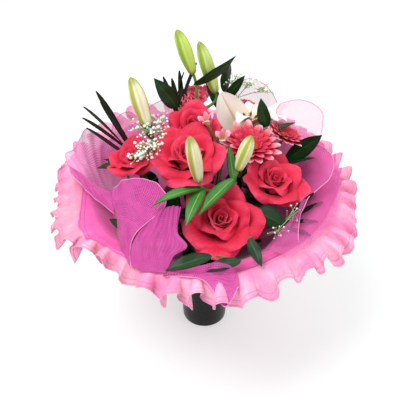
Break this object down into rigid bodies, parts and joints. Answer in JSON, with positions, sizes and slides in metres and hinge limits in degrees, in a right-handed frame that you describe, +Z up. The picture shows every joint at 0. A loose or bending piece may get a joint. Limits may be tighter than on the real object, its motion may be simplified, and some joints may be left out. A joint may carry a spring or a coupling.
{
  "type": "flower bouquet",
  "caption": "Mixed bouquet of roses, lilies, gerberas and dark foliage in a slim vase, fanned out inside a ruffled fabric collar lined with coloured net.",
  "frame": {"origin": "middle of the vase's flat foot, on the surface that it stands on", "axes": "+Z up along the vase, -Y towards the front of the bouquet"},
  "size_m": [0.4197, 0.4124, 0.414],
  "materials": {
    "alstroemeria_petal": "satin",
    "carnation_petal": "velvety",
    "collar_lining": "matt",
    "collar_satin": "satin",
    "dried_blade": "matt",
    "foam_green": "porous",
    "gerbera_eye": "fuzzy",
    "gerbera_ray": "satin",
    "green_stem": "satin",
    "gypsophila": "matt",
    "leaf_dark": "glossy",
    "lily_bud": "waxy",
    "lily_stamen": "powdery",
    "lily_tepal": "waxy",
    "net_magenta": "open mesh",
    "net_pale": "open mesh",
    "rose_petal": "velvety",
    "vase_black": "satin"
  },
  "bodies": {
    "root": {"vase": "vase_black", "collar_outer": "collar_satin", "collar_lining": "collar_lining", "net_left_roll": "net_magenta", "net_left": "net_magenta", "net_right": "net_magenta", "net_back_right": "net_pale", "net_back": "net_pale", "net_back_left": "net_pale", "net_front": "net_magenta", "rose_front": "rose_petal", "rose_centre": "rose_petal", "rose_right": "rose_petal", "rose_left": "rose_petal", "rose_back": "rose_petal", "carnation_back": "carnation_petal", "carnation_right": "carnation_petal", "gerbera_right": "gerbera_ray", "gerbera_right_eye": "gerbera_eye", "gerbera_far_right": "gerbera_ray", "gerbera_far_right_eye": "gerbera_eye", "lily_front_bud_1": "lily_bud", "lily_front_bud_2": "lily_bud", "lily_back_bud_1": "lily_bud", "lily_back_bud_2": "lily_bud", "lily_left_bud_1": "lily_bud", "lily_open": "lily_tepal", "lily_open_stamens": "lily_stamen", "alstroemeria_centre": "alstroemeria_petal", "alstroemeria_back": "alstroemeria_petal", "rose_front_stem": "green_stem", "rose_centre_stem": "green_stem", "rose_right_stem": "green_stem", "rose_left_stem": "green_stem", "rose_back_stem": "green_stem", "carnation_back_stem": "green_stem", "carnation_right_stem": "green_stem", "gerbera_right_stem": "green_stem", "gerbera_far_right_stem": "green_stem", "lily_front_stem": "green_stem", "lily_back_stem": "green_stem", "lily_left_stem": "green_stem", "lily_open_stem": "green_stem", "alstroemeria_stem": "green_stem", "foliage_back": "leaf_dark", "foliage_right": "leaf_dark", "foliage_far_right": "leaf_dark", "foliage_front_right": "leaf_dark", "foliage_front_left": "leaf_dark", "foliage_left": "leaf_dark", "dark_blades_left": "dried_blade", "dark_blades_back": "dried_blade", "dark_blades_right": "dried_blade", "gypsophila_left": "gypsophila", "gypsophila_back": "gypsophila", "gypsophila_right": "gypsophila", "foam": "foam_green"}
  },
  "joints": []
}
